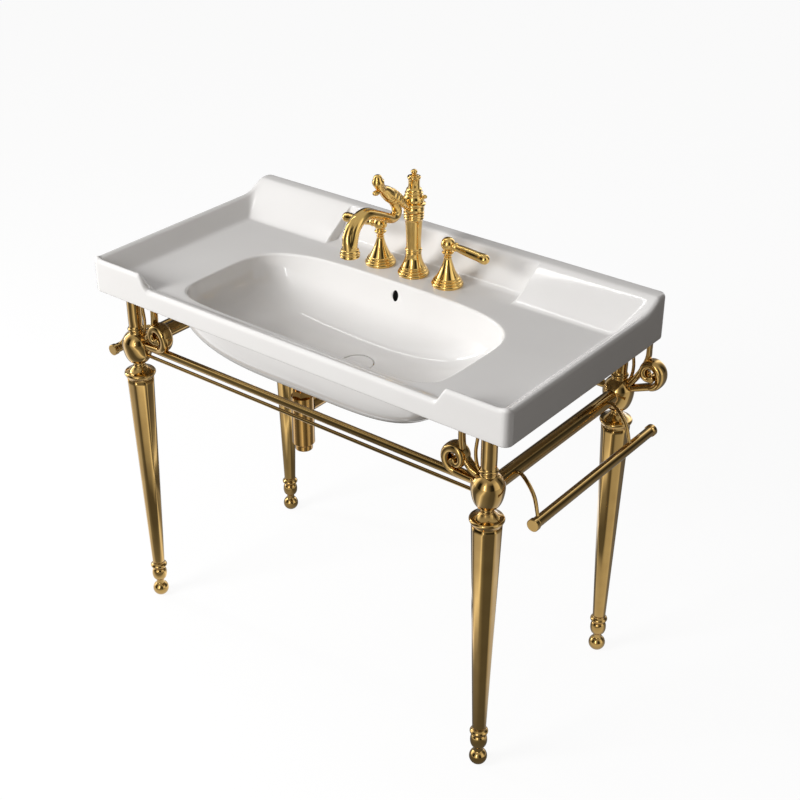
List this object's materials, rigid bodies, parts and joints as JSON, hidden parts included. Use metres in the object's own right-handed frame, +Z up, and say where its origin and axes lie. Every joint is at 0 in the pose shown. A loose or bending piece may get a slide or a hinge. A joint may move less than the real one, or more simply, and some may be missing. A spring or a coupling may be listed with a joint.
{
  "type": "console sink with legs",
  "caption": "Rectangular glazed washbasin on a polished metal stand with faceted tapering legs, scroll brackets, towel bars and a lever mixer.",
  "frame": {"origin": "on the floor under the centre of the basin's width and depth", "axes": "+X to the right seen from the front, +Y towards the wall, +Z up"},
  "size_m": [1.0736, 0.524, 1.0271],
  "materials": {
    "glaze": "glossy white glaze",
    "tap_gold": "polished bright gold",
    "frame_gold": "polished antique gold",
    "brass": "polished",
    "rubber": "matt"
  },
  "bodies": {
    "stand": {"basin": "glaze", "waste_body": "brass", "waste_seal": "rubber", "waste_nut": "brass", "offset_pipe": "brass", "trap_body": "brass", "slip_nuts": "brass", "trap_outlet_pipe": "brass", "wall_flange": "brass", "spout_base": "tap_gold", "spout_column": "tap_gold", "column_cap": "tap_gold", "column_finial": "tap_gold", "handle_base_left": "tap_gold", "handle_base_right": "tap_gold", "spout_shank": "brass", "valve_bodies": "brass", "deck_washers": "rubber", "deck_nuts": "brass", "crossover_pipes": "brass", "foot_front_left": "frame_gold", "foot_front_right": "frame_gold", "foot_back_left": "frame_gold", "foot_back_right": "frame_gold", "leg_front_left": "frame_gold", "leg_front_right": "frame_gold", "leg_back_left": "frame_gold", "leg_back_right": "frame_gold", "collar_front_left": "frame_gold", "collar_front_right": "frame_gold", "collar_back_left": "frame_gold", "collar_back_right": "frame_gold", "hub_front_left": "frame_gold", "hub_front_right": "frame_gold", "hub_back_left": "frame_gold", "hub_back_right": "frame_gold", "post_front_left": "frame_gold", "post_front_right": "frame_gold", "post_back_left": "frame_gold", "post_back_right": "frame_gold", "post_pads": "rubber", "front_rail": "frame_gold", "front_rod": "frame_gold", "back_rail": "frame_gold", "side_rail_left": "frame_gold", "side_rail_right": "frame_gold", "towel_bar_left": "frame_gold", "towel_bar_right": "frame_gold", "towel_arms_left": "frame_gold", "towel_arms_right": "frame_gold", "scroll_bracket_front_left": "frame_gold", "scroll_bracket_front_right": "frame_gold", "scroll_bracket_back_left": "frame_gold", "scroll_bracket_back_right": "frame_gold"},
    "spout": {"spout_arm": "tap_gold", "spout_outlet": "tap_gold"},
    "left_lever": {"lever_left": "tap_gold"},
    "right_lever": {"lever_right": "tap_gold"},
    "pop_up": {"waste_cover": "glaze", "waste_stem": "brass"}
  },
  "joints": [
    {"name": "spout_swivel", "type": "hinge", "parent": "stand", "child": "spout", "pos_m": [0, 0.136, 0.928], "axis": [0, 0, 1], "range_deg": [-50, 50]},
    {"name": "lever_left_turn", "type": "hinge", "parent": "stand", "child": "left_lever", "pos_m": [-0.084, 0.136, 0.87], "axis": [0, 0, 1], "range_deg": [0, 90]},
    {"name": "lever_right_turn", "type": "hinge", "parent": "stand", "child": "right_lever", "pos_m": [0.084, 0.136, 0.87], "axis": [0, 0, 1], "range_deg": [-90, 0]},
    {"name": "waste_lift", "type": "slide", "parent": "stand", "child": "pop_up", "axis": [0, 0, 1], "range_m": [0, 0.008]}
  ]
}
